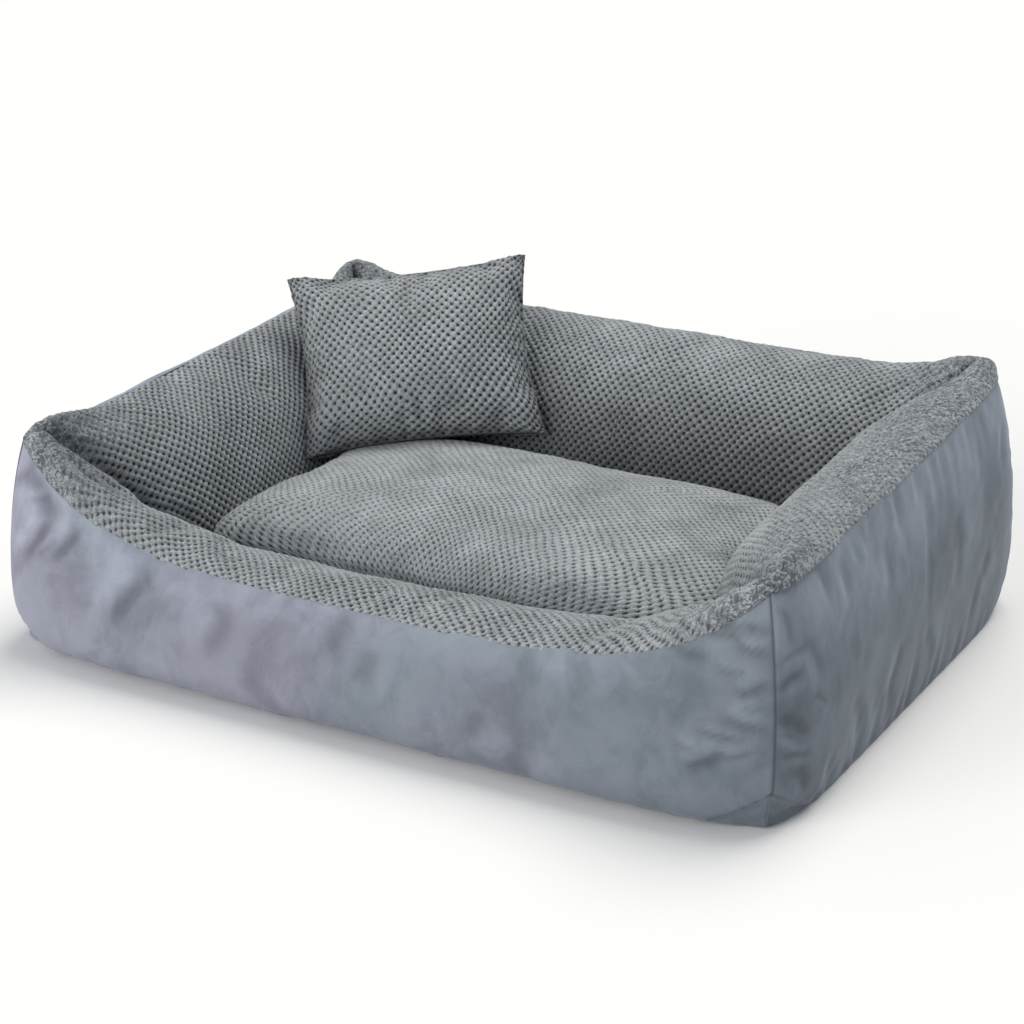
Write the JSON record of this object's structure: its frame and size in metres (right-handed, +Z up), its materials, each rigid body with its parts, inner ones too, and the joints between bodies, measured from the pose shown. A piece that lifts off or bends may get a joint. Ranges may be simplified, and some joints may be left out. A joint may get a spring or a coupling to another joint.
{
  "type": "pet cushion bed",
  "caption": "Rectangular bolster pet bed with a dipped front wall, a thick lift-out mat and a loose corner cushion, each in a zipped cover.",
  "frame": {"origin": "middle of the underside, on the floor", "axes": "+Z up, +X along the long side to the right seen from the dipped front wall, +Y from the front wall to the back wall"},
  "size_m": [0.9796, 0.7478, 0.3531],
  "materials": {
    "velour": "short-pile polyester velour, soft sheen, mottled by the lie of the pile",
    "plush": "honeycomb polyester plush with staggered round tufts",
    "oxford": "woven polyester base cloth with raised non-slip dots",
    "mat_underside": "plain woven polyester",
    "fibre": "loose hollow polyester fibre",
    "zip_tape": "woven tape with a nylon coil",
    "zip_metal": "cast zinc, satin grey"
  },
  "bodies": {
    "bed_body": {"floor_panel": "oxford", "front_outer_panel": "velour", "front_lining": "plush", "front_wall_fill": "fibre", "right_outer_panel": "velour", "right_lining": "plush", "right_wall_fill": "fibre", "back_outer_panel": "velour", "back_lining": "plush", "back_wall_fill": "fibre", "left_outer_panel": "velour", "left_lining": "plush", "left_wall_fill": "fibre"},
    "mat": {"mat_top_cover": "plush", "mat_bottom_cover": "mat_underside", "mat_fill": "fibre", "mat_zip_tape": "zip_tape"},
    "mat_zip_slider": {"mat_zip_slider": "zip_metal"},
    "mat_zip_pull": {"mat_zip_pull": "zip_metal"},
    "cushion": {"cushion_front_cover": "plush", "cushion_back_cover": "plush", "cushion_fill": "fibre", "cushion_zip_tape": "zip_tape"},
    "cushion_zip_slider": {"cushion_zip_slider": "zip_metal"},
    "cushion_zip_pull": {"cushion_zip_pull": "zip_metal"}
  },
  "joints": [
    {"name": "mat_lift", "type": "slide", "parent": "bed_body", "child": "mat", "axis": [0, 0, 1], "range_m": [0, 0.32]},
    {"name": "cushion_lift", "type": "slide", "parent": "mat", "child": "cushion", "axis": [0, 0, 1], "range_m": [0, 0.25]},
    {"name": "mat_zip_slide", "type": "slide", "parent": "mat", "child": "mat_zip_slider", "axis": [-1, 0, 0], "range_m": [0, 0.376]},
    {"name": "mat_zip_pull_swing", "type": "hinge", "parent": "mat_zip_slider", "child": "mat_zip_pull", "pos_m": [0.188, 0.1701, 0.01823], "axis": [0, -0.5, -0.866], "range_deg": [0, 150]},
    {"name": "cushion_zip_slide", "type": "slide", "parent": "cushion", "child": "cushion_zip_slider", "axis": [0.8287, 0.5525, 0.0898], "range_m": [0, 0.13]},
    {"name": "cushion_zip_pull_swing", "type": "hinge", "parent": "cushion_zip_slider", "child": "cushion_zip_pull", "pos_m": [-0.28941, 0.12407, 0.1561], "axis": [-0.4704, 0.6006, 0.6465], "range_deg": [0, 150]}
  ]
}
